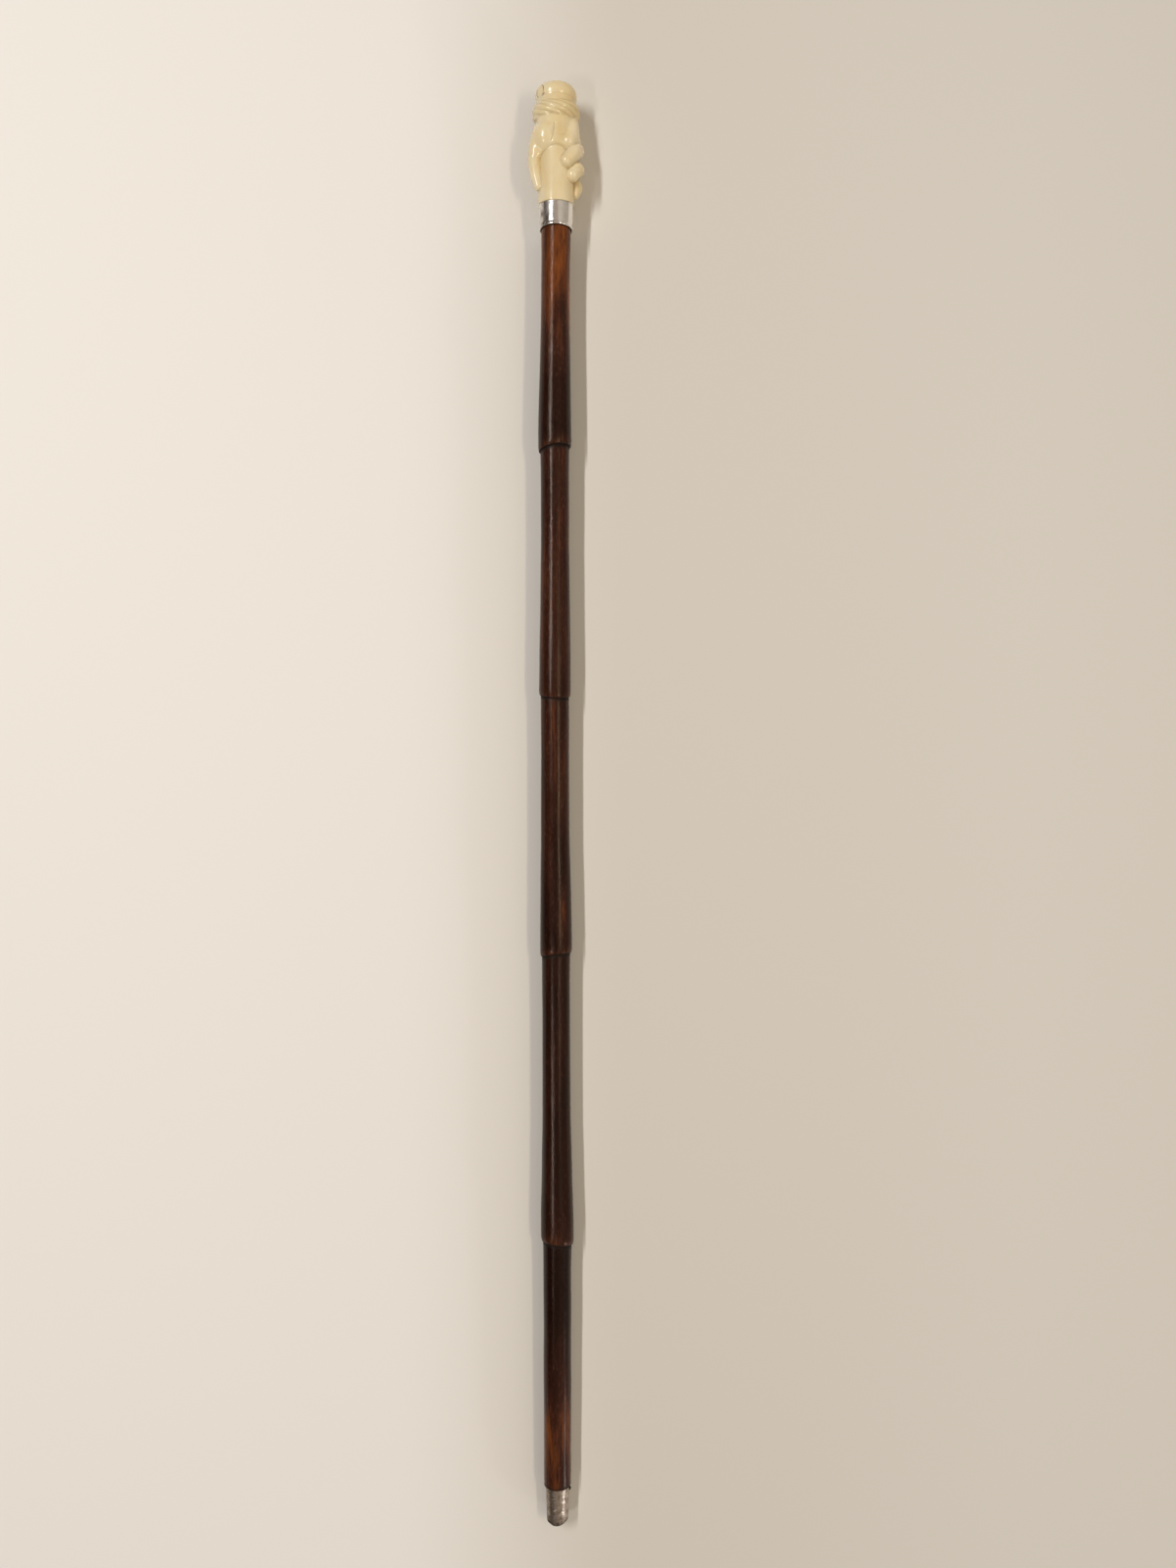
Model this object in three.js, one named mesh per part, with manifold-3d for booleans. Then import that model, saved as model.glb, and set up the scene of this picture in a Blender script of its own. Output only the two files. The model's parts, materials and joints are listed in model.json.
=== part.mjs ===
// A walking cane. Its handle is carved in one piece: a right hand that holds a short rod, a twisted
// cord round the wrist and a rounded knob above. A metal collar covers the joint to the shaft, which
// is one length of stepped cane. A ferrule with a steel wear plug protects the foot.
// Sizes are in millimetres. The cane is built upright, with its foot at the origin, its length along
// +Y, the palm on the +Z side and the finger side at +X. The last lines lay it down palm up.
import * as THREE from "three";
import { mergeVertices } from "three/addons/utils/BufferGeometryUtils.js";
import Module from "manifold-3d";

const wasm = await Module();
wasm.setup();

// Gap left between two pieces that seat on each other
const FIT_GAP = 0.3;
const SHORTEST_EDGE = 0.02; // shorter ones, left where forms cross, are closed up

// Ferrule and wear plug
const FERRULE_LENGTH = 22.7;
const FERRULE_TOP_DIAMETER = 15;
const FERRULE_FOOT_DIAMETER = 13.3;
const FERRULE_WALL = 0.8;
const FERRULE_LIP_DEPTH = 0.4; // the foot edge, rolled in over the wear plug
const PLUG_STAND = 1.3; // how far the wear plug stands out of the ferrule
const PLUG_EDGE = 0.8; // worn round edge of the wear plug
const PLUG_SHOULDER = 3; // thickness of the plug's wide part inside the ferrule
const NAIL_HEAD_DIAMETER = 2.6;
const NAIL_HEAD_HEIGHT = 1.1;
const NAIL_SHANK_DIAMETER = 1.3;
const NAIL_SHANK_LENGTH = 6;
const NAIL_DROP = 2.6; // from the ferrule's top edge down to the nail

// Shaft, one length per internode from the foot up
const INTERNODE_1_LENGTH = 153;
const INTERNODE_2_LENGTH = 181;
const INTERNODE_3_LENGTH = 162;
const INTERNODE_4_LENGTH = 154;
const INTERNODE_5_LENGTH = 136.5;
const LIP_HEIGHT = 4; // the rounded step at each node
// Diameters of the internodes: at the foot end, in the middle and at the top
const FLARE_1 = 16.6;
const WAIST_1 = 17.2;
const NECK_1 = 17.8;
const FLARE_2 = 20.4;
const WAIST_2 = 17.2;
const NECK_2 = 17.6;
const FLARE_3 = 19.8;
const WAIST_3 = 17.4;
const NECK_3 = 17.4;
const FLARE_4 = 19.6;
const WAIST_4 = 17.4;
const NECK_4 = 18;
const FLARE_5 = 20.6;
const WAIST_5 = 17.5;
const NECK_5 = 18.2;
const FLARE_REACH = 58; // how far above a node its swelling runs out
const NECK_REACH = 16; // how far below a node the narrow neck runs out
const FOOT_DRIFT = 0.8; // how far the shaft's natural bend carries the foot towards +X
const MIDDLE_DRIFT = 0.6; // and its middle the other way
const SPIGOT_DIAMETER = 16.4; // the shaft's turned end inside the collar
const SPIGOT_LENGTH = 8.4;

// Collar and the dark packing inside its foot
const COLLAR_LENGTH = 15.5;
const COLLAR_FOOT_DIAMETER = 20.8;
const COLLAR_TOP_DIAMETER = 22.2;
const COLLAR_WALL = 0.5;
const COLLAR_LEAN = 0.11; // fall of its top edge for each millimetre towards the palm side
const BEAD_HEIGHT = 1.5; // the rolled rim at the collar's foot
const BEAD_DEPTH = 0.35;
const PACKING_LENGTH = 7.6;

// Threaded stud that joins the handle to the shaft
const STUD_DIAMETER = 6;
const STUD_IN_SHAFT = 40;
const STUD_IN_HANDLE = 38;
const STUD_CHAMFER = 0.8;

// Handle
const ROD_DIAMETER = 22.2;
const HAND_LENGTH = 50; // from the collar up to the cord
const ROD_SHOWING = 31; // from the collar up to the heel of the palm
const PALM_STEP = 2;
const PALM_DIAMETER = 24.2;
const HAND_BACK_DEPTH = 16.2; // from the cane's axis to the two edges that the hand lies on
const HAND_BACK_WIDTH = 12.4; // between those edges
const HAND_BACK_HOLLOW = 0.25; // depth of the slight hollow between them
const HAND_BACK_SHIFT = 0.7; // of the hollow's middle from the axis, towards the fingers
const CORD_HEIGHT = 12.6; // of the twisted cord, along the cane
const CORD_DIP = 2.4; // how much lower it is over the palm
const CORD_OUTER_DIAMETER = 29.8;
const CORD_DEPTH = 4; // half the cord's thickness, out from the wrist, under the ridges
const CORD_RIDGE = 0.75;
const CORD_STRANDS = 8;
const CORD_CROSSINGS = 9; // strands that pass any one point of the rim in one loop of the wrist
const KNOB_LENGTH = 10.6;
const KNOB_DIAMETER = 26;
const KNOB_NECK_DIAMETER = 25.4;
const KNOB_ROUNDING = 6;
const KNOB_PLUG_DIAMETER = 6.8;
const KNOB_PLUG_THICKNESS = 3;
const KNOB_PLUG_TURN = 52; // degrees from the palm side towards the thumb
const KNOB_PLUG_TILT = -3; // degrees up from square to the cane

// The carved hand. Each limb is a row of stops: [turn, up, out, radius], where turn is in degrees
// from the palm side towards the fingers, up is the height above the collar, out is the distance
// from the cane's axis and radius is the limb's own.
const LIMBS = {
  littleFinger: [
    [142, 47.5, 11.8, 4.4],
    [114, 44.5, 12, 4.3],
    [92, 40, 10.2, 4.4],
  ],
  ringFinger: [
    [160, 41.5, 12.4, 5],
    [128, 39.5, 12.7, 5],
    [92, 34.2, 12.5, 5.2],
    [70, 31.3, 12.5, 5],
    [54, 27.6, 12.2, 4.5],
    [38, 23.6, 11, 4],
  ],
  middleFinger: [
    [177, 34.5, 12, 5],
    [140, 30, 12.6, 4.9],
    [97, 22.9, 13.35, 4.8],
    [74, 20.2, 12.9, 4.6],
    [60, 16, 12.2, 4.1],
  ],
  indexFinger: [
    [196, 28.5, 12.2, 5],
    [155, 22.4, 12.8, 4.8],
    [122, 16.4, 12.8, 4.6],
    [105, 11.8, 12.8, 4.2],
    [95, 7.4, 11.8, 2.9],
  ],
  thumb: [
    [-58, 45, 9.6, 4.8],
    [-70, 37.5, 11.9, 4.8],
    [-77, 28.4, 13.75, 4.1],
    [-75, 21, 13.4, 3.9],
    [-71, 14.4, 12.5, 3.4],
    [-68, 10, 11.7, 2.7],
  ],
  heel: [
    [82, 53, 7.6, 5.2],
    [71, 46, 9.2, 5.2],
    [58, 39.8, 10.4, 4.7],
    [47, 36, 10.6, 3.7],
  ],
};

// Pads of the hand: [turn, up, out] of the middle, then the half sizes across, along and outwards
const PADS = {
  thumbPad: { middle: [-55, 40.2, 7], half: [9.6, 10.6, 9.4] },
  handBack: { middle: [190, 40, 6], half: [13, 15, 10.6] },
};

const LATHE_SIDES = 28;
const LIMB_SIDES = 12;
const LIMB_RINGS = 14;

const ivory = new THREE.MeshStandardMaterial({ color: 0xe0c796, roughness: 0.32, metalness: 0 });
const silver = new THREE.MeshStandardMaterial({ color: 0xc9c5bd, roughness: 0.25, metalness: 1 });
const nickel = new THREE.MeshStandardMaterial({ color: 0x8d8073, roughness: 0.38, metalness: 1 });
const steel = new THREE.MeshStandardMaterial({ color: 0x4a433d, roughness: 0.5, metalness: 1 });
const pitch = new THREE.MeshStandardMaterial({ color: 0x1d120c, roughness: 0.6, metalness: 0 });
const darkCane = new THREE.MeshStandardMaterial({ color: 0x3f2416, roughness: 0.3, metalness: 0 });

// Heights along the cane
const ferruleTop = PLUG_STAND + FERRULE_LENGTH;
const shaftFoot = ferruleTop + FIT_GAP;
const node1 = ferruleTop + INTERNODE_1_LENGTH;
const node2 = node1 + INTERNODE_2_LENGTH;
const node3 = node2 + INTERNODE_3_LENGTH;
const node4 = node3 + INTERNODE_4_LENGTH;
const collarFoot = node4 + INTERNODE_5_LENGTH;
const collarTop = collarFoot + COLLAR_LENGTH;
const handTop = collarTop + HAND_LENGTH;
const cordTop = handTop + CORD_HEIGHT;
const spigotTop = collarFoot + SPIGOT_LENGTH;

// Internodes from the foot up: height and diameters at the foot end, in the middle and at the top.
// The lean of a node is how much its edge climbs per millimetre towards +X and +Z.
const INTERNODES = [
  { foot: shaftFoot, flare: FLARE_1, waist: WAIST_1, neck: NECK_1, leanX: 0, leanZ: 0 },
  { foot: node1, flare: FLARE_2, waist: WAIST_2, neck: NECK_2, leanX: -0.12, leanZ: 0.1 },
  { foot: node2, flare: FLARE_3, waist: WAIST_3, neck: NECK_3, leanX: 0.12, leanZ: 0.11 },
  { foot: node3, flare: FLARE_4, waist: WAIST_4, neck: NECK_4, leanX: -0.06, leanZ: -0.18 },
  { foot: node4, flare: FLARE_5, waist: WAIST_5, neck: NECK_5, leanX: 0.16, leanZ: 0.12 },
];

// A closed geometry as a solid for cutting and joining
function solid(geometry) {
  const bare = new THREE.BufferGeometry();
  bare.setAttribute("position", geometry.getAttribute("position").clone());
  bare.setIndex(geometry.index ?? [...Array(geometry.getAttribute("position").count).keys()]);
  const merged = mergeVertices(bare, 1e-4);
  const corners = merged.index.array;
  const kept = [];
  for (let i = 0; i < corners.length; i += 3) {
    const [a, b, c] = [corners[i], corners[i + 1], corners[i + 2]];
    if (a !== b && b !== c && c !== a) kept.push(a, b, c);
  }
  return new wasm.Manifold(
    new wasm.Mesh({
      numProp: 3,
      vertProperties: new Float32Array(merged.attributes.position.array),
      triVerts: new Uint32Array(kept),
    }),
  );
}

// The outer surface alone, so that small pockets closed in between the limbs are filled
function withoutPockets(made) {
  return made.decompose().reduce((most, shell) => (shell.volume() > most.volume() ? shell : most));
}

function geometryOf(made) {
  const mesh = made.simplify(SHORTEST_EDGE).getMesh();
  const geometry = new THREE.BufferGeometry();
  geometry.setAttribute("position", new THREE.BufferAttribute(mesh.vertProperties, 3));
  geometry.setIndex(new THREE.BufferAttribute(mesh.triVerts, 1));
  return geometry;
}

// Turns a closed outline of [radius, height] points round the cane's axis
function turned(outline, sides = LATHE_SIDES) {
  const points = outline.map(([radius, height]) => new THREE.Vector2(radius, height));
  points.push(points[0].clone());
  return new THREE.LatheGeometry(points, sides);
}

// A point at a turn in degrees, a height and a distance from the cane's axis
function around(turn, height, out) {
  const angle = THREE.MathUtils.degToRad(turn);
  return new THREE.Vector3(out * Math.sin(angle), height, out * Math.cos(angle));
}

// A finger: a capsule bent along its stops, its radius read along the way
function limb(stops) {
  const curve = new THREE.CatmullRomCurve3(
    stops.map(([turn, up, out]) => around(turn, collarTop + up, out)),
  );
  const thickness = new THREE.SplineCurve(stops.map(([, , , radius], i) => new THREE.Vector2(i, radius)));
  const capsule = new THREE.CapsuleGeometry(1, 1, 4, LIMB_SIDES, LIMB_RINGS);
  const place = capsule.getAttribute("position");
  for (let i = 0; i < place.count; i++) {
    const along = THREE.MathUtils.clamp(place.getY(i) + 0.5, 0, 1);
    const past = place.getY(i) + 0.5 - along;
    const middle = curve.getPoint(along);
    const ahead = curve.getTangent(along);
    const outwards = new THREE.Vector3(middle.x, 0, middle.z);
    outwards.addScaledVector(ahead, -outwards.dot(ahead)).normalize();
    const across = new THREE.Vector3().crossVectors(ahead, outwards);
    const radius = thickness.getPoint(along).y;
    middle.addScaledVector(ahead, past * radius);
    middle.addScaledVector(across, place.getX(i) * radius);
    middle.addScaledVector(outwards, place.getZ(i) * radius);
    place.setXYZ(i, middle.x, middle.y, middle.z);
  }
  return solid(capsule);
}

function pad({ middle, half }) {
  const [turn, up, out] = middle;
  const ball = new THREE.SphereGeometry(1, 20, 14);
  ball.scale(...half);
  ball.rotateY(THREE.MathUtils.degToRad(turn));
  const place = around(turn, collarTop + up, out);
  ball.translate(place.x, place.y, place.z);
  return solid(ball);
}

// The twisted cord: a ring of oval section with rounded ridges that wind along it
function twistedCord() {
  const ring = new THREE.TorusGeometry(1, 0.5, 20, 72);
  ring.rotateX(Math.PI / 2);
  const place = ring.getAttribute("position");
  const middleRadius = CORD_OUTER_DIAMETER / 2 - CORD_DEPTH - CORD_RIDGE;
  for (let i = 0; i < place.count; i++) {
    const [x, y, z] = [place.getX(i), place.getY(i), place.getZ(i)];
    const turn = Math.atan2(x, z);
    const roll = Math.atan2(y, Math.hypot(x, z) - 1);
    const strand = (CORD_STRANDS * roll + CORD_CROSSINGS * turn) / 2;
    const swell = CORD_RIDGE * Math.abs(Math.cos(strand));
    const height = CORD_HEIGHT - CORD_DIP * Math.max(0, Math.cos(turn)) ** 2;
    const out = middleRadius + (CORD_DEPTH + swell) * Math.cos(roll);
    const up = height / 2 + (height / 2 - CORD_RIDGE + swell) * Math.sin(roll);
    place.setXYZ(i, out * Math.sin(turn), handTop + up, out * Math.cos(turn));
  }
  return solid(ring);
}

// The knob's outline runs up from the wrist and rounds over to the end
function knobOutline() {
  const radius = KNOB_DIAMETER / 2;
  const end = cordTop + KNOB_LENGTH;
  const outline = [];
  for (let i = 0; i <= 5; i++) {
    const angle = (i / 5) * (Math.PI / 2);
    outline.push([
      radius - KNOB_ROUNDING * (1 - Math.cos(angle)),
      end - KNOB_ROUNDING * (1 - Math.sin(angle)),
    ]);
  }
  return outline;
}

function handle() {
  const foot = spigotTop + FIT_GAP;
  const rod = ROD_DIAMETER / 2;
  const core = turned([
    [0, foot],
    [collarInside(foot) - FIT_GAP, foot],
    [collarInside(collarTop) - FIT_GAP, collarTop + FIT_GAP],
    [rod, collarTop + FIT_GAP],
    [rod, collarTop + ROD_SHOWING],
    [PALM_DIAMETER / 2, collarTop + ROD_SHOWING + PALM_STEP],
    [PALM_DIAMETER / 2, handTop],
    [KNOB_NECK_DIAMETER / 2, cordTop],
    ...knobOutline(),
    [0, cordTop + KNOB_LENGTH],
  ]);
  leanCollar(core);
  let made = solid(core).add(twistedCord());
  for (const form of Object.values(PADS)) made = made.add(pad(form));
  for (const stops of Object.values(LIMBS)) made = made.add(limb(stops));
  made = withoutPockets(made);
  const bore = new THREE.CylinderGeometry(studBore(), studBore(), 2 * (STUD_IN_HANDLE + 1), 16);
  bore.translate(0, foot, 0);
  return geometryOf(made.subtract(solid(bore)).subtract(knobRecess()).subtract(behindHand()));
}

// The space behind the hand's back. It leaves two edges with a slight hollow between them, so that
// the cane lies still. They are level when it lies on them and on the swelling above its lowest node.
function behindHand() {
  const restMiddle = collarTop + 0.7 * HAND_LENGTH;
  const slope = (HAND_BACK_DEPTH - INTERNODES[1].flare / 2) / (restMiddle - node1 - LIP_HEIGHT);
  const reach = CORD_OUTER_DIAMETER;
  const ridge = (2 * HAND_BACK_HOLLOW * reach) / HAND_BACK_WIDTH;
  const space = new THREE.BoxGeometry(2 * reach, 2 * HAND_LENGTH, reach, 2, 1, 1);
  const place = space.getAttribute("position");
  for (let i = 0; i < place.count; i++) {
    if (Math.abs(place.getX(i)) < reach / 2 && place.getZ(i) > 0) place.setZ(i, place.getZ(i) + ridge);
  }
  space.translate(0, 0, HAND_BACK_HOLLOW - ridge - reach / 2).rotateX(-Math.atan(slope));
  return solid(space.translate(HAND_BACK_SHIFT, restMiddle, -HAND_BACK_DEPTH));
}

// The collar's top edge and the rod's foot above it lie lower on the palm side
function leanCollar(geometry) {
  const place = geometry.getAttribute("position");
  for (let i = 0; i < place.count; i++) {
    const height = place.getY(i);
    const start = spigotTop + 2 * FIT_GAP;
    const rise = THREE.MathUtils.clamp((height - start) / (collarTop - start), 0, 1);
    const fade = THREE.MathUtils.clamp((height - collarTop - 2 * FIT_GAP) / ROD_SHOWING, 0, 1);
    place.setY(i, height - COLLAR_LEAN * rise * (1 - fade) * place.getZ(i));
  }
  return geometry;
}

function studBore() {
  return STUD_DIAMETER / 2 + FIT_GAP;
}

// The knob's shoulder: the middle of its rounding, and the plug's way out from the cane's axis
const shoulder = KNOB_DIAMETER / 2 - KNOB_ROUNDING;
const plugTilt = THREE.MathUtils.degToRad(KNOB_PLUG_TILT);
const plugPivot = cordTop + KNOB_LENGTH - KNOB_ROUNDING - shoulder * Math.tan(plugTilt);
const plugFace = shoulder / Math.cos(plugTilt) + KNOB_ROUNDING;

// Turns and tilts a piece built along +Y at the origin so that it points out of the knob's shoulder
function onKnob(geometry) {
  geometry.rotateX(Math.PI / 2 - plugTilt);
  geometry.rotateY(THREE.MathUtils.degToRad(-KNOB_PLUG_TURN));
  return geometry.translate(0, plugPivot, 0);
}

function knobRecess() {
  const radius = KNOB_PLUG_DIAMETER / 2 + FIT_GAP;
  const foot = plugFace - KNOB_PLUG_THICKNESS - FIT_GAP;
  const hole = new THREE.CylinderGeometry(radius, radius, KNOB_DIAMETER, 20);
  return solid(onKnob(hole.translate(0, foot + KNOB_DIAMETER / 2, 0)));
}

// The plug's face is domed, to follow the knob
function knobPlug() {
  const radius = KNOB_PLUG_DIAMETER / 2;
  const base = plugFace - KNOB_PLUG_THICKNESS;
  const disc = turned(
    [
      [0, base],
      [radius, base],
      [radius, base + KNOB_PLUG_THICKNESS - 0.9],
      [radius * 0.8, base + KNOB_PLUG_THICKNESS - 0.45],
      [radius * 0.45, base + KNOB_PLUG_THICKNESS - 0.15],
      [0, base + KNOB_PLUG_THICKNESS],
    ],
    20,
  );
  return onKnob(disc);
}

// Inner radius of the collar at a height
function collarInside(height) {
  const share = (height - collarFoot) / COLLAR_LENGTH;
  return THREE.MathUtils.lerp(COLLAR_FOOT_DIAMETER, COLLAR_TOP_DIAMETER, share) / 2 - COLLAR_WALL;
}

function collar() {
  const foot = COLLAR_FOOT_DIAMETER / 2;
  const band = turned([
    [collarInside(collarFoot), collarFoot],
    [foot + BEAD_DEPTH * 0.6, collarFoot],
    [foot + BEAD_DEPTH, collarFoot + BEAD_HEIGHT * 0.5],
    [foot + BEAD_DEPTH * 0.6, collarFoot + BEAD_HEIGHT],
    [foot + 0.05, collarFoot + BEAD_HEIGHT * 1.2],
    [COLLAR_TOP_DIAMETER / 2, collarTop],
    [collarInside(collarTop), collarTop],
  ]);
  return leanCollar(band);
}

function packing() {
  const outer = collarInside(collarFoot) - FIT_GAP;
  const inner = SPIGOT_DIAMETER / 2 + FIT_GAP;
  return turned([
    [inner, collarFoot],
    [outer, collarFoot],
    [outer, collarFoot + PACKING_LENGTH],
    [inner, collarFoot + PACKING_LENGTH],
  ]);
}

function stud() {
  const radius = STUD_DIAMETER / 2;
  const low = collarFoot + SPIGOT_LENGTH - STUD_IN_SHAFT;
  const high = spigotTop + FIT_GAP + STUD_IN_HANDLE;
  return turned(
    [
      [0, low],
      [radius - STUD_CHAMFER, low],
      [radius, low + STUD_CHAMFER],
      [radius, high - STUD_CHAMFER],
      [radius - STUD_CHAMFER, high],
      [0, high],
    ],
    16,
  );
}

// Radius of an internode at a height
function internodeRadius(internode, top, height) {
  const { foot, flare, waist, neck } = internode;
  const swell = (flare - waist) * Math.exp(-(((height - foot) / FLARE_REACH) ** 2));
  const shoulder = (neck - waist) * Math.exp(-(((top - height) / NECK_REACH) ** 2));
  return (waist + swell + shoulder) / 2;
}

// One internode's outline, from the rounded step at its foot up to just under the next step
function internodeOutline(internode, top, below) {
  const outline = [];
  const lip = internodeRadius(internode, top, internode.foot + LIP_HEIGHT);
  const lipSteps = 3;
  for (let i = 0; below && i < lipSteps; i++) {
    const angle = (i / lipSteps) * (Math.PI / 2);
    outline.push([
      below + (lip - below) * Math.sin(angle),
      internode.foot + LIP_HEIGHT * (1 - Math.cos(angle)),
    ]);
  }
  const start = internode.foot + (below ? LIP_HEIGHT : 0);
  const rings = 8;
  for (let i = 0; i < rings; i++) {
    const height = THREE.MathUtils.lerp(start, top, (i / rings) ** 0.9);
    outline.push([internodeRadius(internode, top, height), height]);
  }
  outline.push([internode.neck / 2, top]);
  return outline;
}

// How much the node edges lean at a height, per millimetre towards +X and +Z
function leanAt(height) {
  const lean = { x: 0, z: 0 };
  for (const { foot, leanX, leanZ } of INTERNODES) {
    const near = Math.exp(-(((height - foot) / NECK_REACH) ** 2));
    lean.x += leanX * near;
    lean.z += leanZ * near;
  }
  return lean;
}

// Inner radius of the ferrule at a height
function ferruleInside(height) {
  const share = (height - PLUG_STAND) / FERRULE_LENGTH;
  return THREE.MathUtils.lerp(FERRULE_FOOT_DIAMETER, FERRULE_TOP_DIAMETER, share) / 2 - FERRULE_WALL;
}

function shaft() {
  const tenonFoot = PLUG_STAND + FERRULE_WALL + PLUG_SHOULDER + 2 * FIT_GAP;
  const outline = [
    [0, tenonFoot],
    [ferruleInside(tenonFoot) - FIT_GAP, tenonFoot],
    [ferruleInside(shaftFoot) - FIT_GAP, shaftFoot],
  ];
  let below = 0;
  INTERNODES.forEach((internode, i) => {
    const top = INTERNODES[i + 1]?.foot ?? collarFoot - FIT_GAP;
    outline.push(...internodeOutline(internode, top, below));
    below = internode.neck / 2;
  });
  outline.push([SPIGOT_DIAMETER / 2, collarFoot - FIT_GAP]);
  outline.push([SPIGOT_DIAMETER / 2, spigotTop]);
  outline.push([0, spigotTop]);
  const body = turned(outline, 24);
  const place = body.getAttribute("position");
  for (let i = 0; i < place.count; i++) {
    const lean = leanAt(place.getY(i));
    place.setY(i, place.getY(i) + lean.x * place.getX(i) + lean.z * place.getZ(i));
  }
  const bore = new THREE.CylinderGeometry(studBore(), studBore(), 2 * (STUD_IN_SHAFT + 1), 16);
  bore.translate(0, spigotTop, 0);
  return geometryOf(solid(body).subtract(solid(bore)).subtract(nailHole(NAIL_SHANK_LENGTH + 1)));
}

const nailHeight = ferruleTop - NAIL_DROP;

// Outer radius of the ferrule where the nail's head seats
const nailSeat = ferruleInside(nailHeight) + FERRULE_WALL;

// Hole for the nail, from outside the cane inwards to a depth under the nail's head
function nailHole(depth) {
  const radius = NAIL_SHANK_DIAMETER / 2 + FIT_GAP;
  const length = depth + 5;
  const hole = new THREE.CylinderGeometry(radius, radius, length, 10);
  hole.rotateZ(Math.PI / 2);
  hole.translate(nailSeat - depth + length / 2, nailHeight, 0);
  return solid(hole);
}

function ferrule() {
  const foot = FERRULE_FOOT_DIAMETER / 2;
  const top = FERRULE_TOP_DIAMETER / 2;
  const mouth = foot - FERRULE_WALL - FERRULE_LIP_DEPTH;
  const inside = PLUG_STAND + FERRULE_WALL;
  const tube = turned([
    [mouth, PLUG_STAND],
    [foot - 0.7, PLUG_STAND],
    [foot - 0.2, PLUG_STAND + 0.3],
    [foot, PLUG_STAND + 0.9],
    [top, ferruleTop],
    [ferruleInside(ferruleTop), ferruleTop],
    [ferruleInside(inside), inside],
    [mouth, inside],
  ]);
  return geometryOf(solid(tube).subtract(nailHole(NAIL_SHANK_LENGTH)));
}

// Steel plug: a wide part held inside the ferrule and a worn foot that stands out of its mouth
function wearPlug() {
  const foot = FERRULE_FOOT_DIAMETER / 2 - FERRULE_WALL - FERRULE_LIP_DEPTH - FIT_GAP;
  const seat = PLUG_STAND + FERRULE_WALL + FIT_GAP;
  const wide = ferruleInside(seat) - FIT_GAP;
  return turned([
    [0, 0],
    [foot - PLUG_EDGE, 0],
    [foot - PLUG_EDGE * 0.3, PLUG_EDGE * 0.3],
    [foot, PLUG_EDGE],
    [foot, seat],
    [wide, seat],
    [wide, seat + PLUG_SHOULDER - FIT_GAP],
    [0, seat + PLUG_SHOULDER - FIT_GAP],
  ]);
}

function ferruleNail() {
  const head = NAIL_HEAD_DIAMETER / 2;
  const shank = NAIL_SHANK_DIAMETER / 2;
  const nail = turned(
    [
      [0, -NAIL_SHANK_LENGTH],
      [shank, 1 - NAIL_SHANK_LENGTH],
      [shank, FIT_GAP],
      [head, FIT_GAP],
      [head * 0.85, FIT_GAP + NAIL_HEAD_HEIGHT * 0.5],
      [head * 0.45, FIT_GAP + NAIL_HEAD_HEIGHT * 0.9],
      [0, FIT_GAP + NAIL_HEAD_HEIGHT],
    ],
    12,
  );
  nail.rotateZ(-Math.PI / 2);
  return nail.translate(nailSeat, nailHeight, 0);
}

// The shaft's natural bend runs from its lowest node up to the collar
function bend(geometry) {
  const place = geometry.getAttribute("position");
  for (let i = 0; i < place.count; i++) {
    const foot = 1 - THREE.MathUtils.smoothstep(place.getY(i), node1, node3);
    const middle = THREE.MathUtils.clamp((place.getY(i) - node1) / (collarFoot - node1), 0, 1);
    const drift = FOOT_DRIFT * foot - MIDDLE_DRIFT * Math.sin(Math.PI * middle);
    place.setX(i, place.getX(i) + drift);
  }
}

const cane = new THREE.Group();
const pieces = [
  ["hand_handle", handle(), ivory],
  ["knob_plug", knobPlug(), ivory],
  ["joining_stud", stud(), steel],
  ["collar", collar(), silver],
  ["collar_packing", packing(), pitch],
  ["shaft", shaft(), darkCane],
  ["ferrule", ferrule(), nickel],
  ["wear_plug", wearPlug(), steel],
  ["ferrule_nail", ferruleNail(), steel],
];
for (const [name, geometry, material] of pieces) {
  bend(geometry);
  const mesh = new THREE.Mesh(geometry, material);
  mesh.name = name;
  cane.add(mesh);
}

// Lays the cane down: the back of the hand and the lowest swelling of the shaft both touch z = 0
function layDown(group) {
  const lowest = (name) => {
    group.updateMatrixWorld(true);
    const mesh = group.getObjectByName(name);
    const place = mesh.geometry.getAttribute("position");
    const found = new THREE.Vector3(0, 0, Infinity);
    const point = new THREE.Vector3();
    for (let i = 0; i < place.count; i++) {
      point.fromBufferAttribute(place, i).applyMatrix4(mesh.matrixWorld);
      if (point.z < found.z) found.copy(point);
    }
    return found;
  };
  const settlingSteps = 6;
  for (let i = 0; i < settlingSteps; i++) {
    const hand = lowest("hand_handle");
    const stick = lowest("shaft");
    group.rotation.x -= Math.atan2(hand.z - stick.z, hand.y - stick.y);
  }
  group.updateMatrixWorld(true);
  const box = new THREE.Box3().setFromObject(group, true);
  group.position.set(-(box.min.x + box.max.x) / 2, -(box.min.y + box.max.y) / 2, -box.min.z);
}
layDown(cane);

export default cane;
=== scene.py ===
# Walking cane: dark stepped cane, silver collar, ivory handle carved as a hand on a rod
import json
import math

import bmesh
import bpy
import numpy as np
from mathutils import Matrix, Vector, noise


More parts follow.
